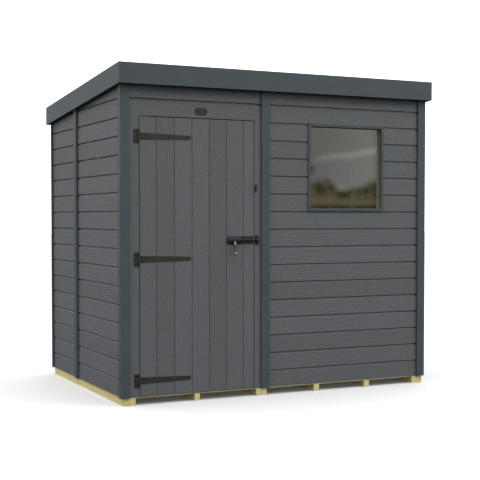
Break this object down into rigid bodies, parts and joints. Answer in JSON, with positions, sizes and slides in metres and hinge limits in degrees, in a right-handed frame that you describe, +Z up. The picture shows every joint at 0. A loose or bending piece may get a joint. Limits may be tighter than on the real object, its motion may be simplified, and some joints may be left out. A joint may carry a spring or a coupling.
{
  "type": "pent garden shed",
  "caption": "Pent garden shed in dark grey shiplap boards: hinged plank door with a sliding bolt and turn button, one fixed window, sloping roof and a timber floor on bearers.",
  "frame": {"origin": "on the ground, under the middle of the roof's outline", "axes": "+X to the right along the front as seen by someone facing the door, +Y from the front to the back, +Z up"},
  "size_m": [2.182, 1.556, 2.002],
  "materials": {
    "cladding_paint": "mid-grey paint over embossed wood grain, matt",
    "trim_paint": "smooth blue-grey paint, matt",
    "treated_timber": "rough sawn, pressure treated, pale green-yellow",
    "frame_timber": "planed bare softwood",
    "roof_felt": "bitumen felt with mineral grit",
    "black_iron": "black epoxy over steel, satin",
    "window_glass": "clear, polished"
  },
  "bodies": {
    "shed": {"bearers": "treated_timber", "floor_panels": "treated_timber", "hinge_side_post": "cladding_paint", "lock_side_post": "cladding_paint", "over_door_panel": "cladding_paint", "window_panel": "cladding_paint", "left_front_panel": "cladding_paint", "left_rear_panel": "cladding_paint", "right_front_panel": "cladding_paint", "right_rear_panel": "cladding_paint", "back_left_panel": "cladding_paint", "back_right_panel": "cladding_paint", "front_studs": "frame_timber", "back_studs": "frame_timber", "left_studs": "frame_timber", "right_studs": "frame_timber", "front_rails": "frame_timber", "back_rails": "frame_timber", "left_rails": "frame_timber", "right_rails": "frame_timber", "corner_trims": "trim_paint", "seam_trims": "trim_paint", "rafters": "frame_timber", "roof_deck_left": "frame_timber", "roof_deck_right": "frame_timber", "roof_felt": "roof_felt", "front_fascia": "trim_paint", "back_fascia": "trim_paint", "left_fascia": "trim_paint", "right_fascia": "trim_paint", "hinge_plates": "black_iron", "bolt_keeper": "black_iron", "button_screw": "black_iron", "window_trim": "trim_paint", "window_frame": "frame_timber", "window_glass": "window_glass", "badge_plate": "black_iron"},
    "door": {"door_boards": "cladding_paint", "door_ledges": "frame_timber", "door_braces": "frame_timber", "hinge_straps": "black_iron", "bolt_casing": "black_iron"},
    "bolt": {"bolt_rod": "black_iron", "bolt_handle": "black_iron"},
    "button": {"turn_button": "black_iron"}
  },
  "joints": [
    {"name": "door_swing", "type": "hinge", "parent": "shed", "child": "door", "pos_m": [-0.954, -0.727, 0.861], "axis": [0, 0, -1], "range_deg": [0, 165]},
    {"name": "bolt_slide", "type": "slide", "parent": "door", "child": "bolt", "axis": [1, 0, 0], "range_m": [0, 0.044]},
    {"name": "button_turn", "type": "hinge", "parent": "shed", "child": "button", "pos_m": [-0.1885, -0.727, 1.286], "axis": [0, -1, 0], "range_deg": [0, 90]}
  ]
}
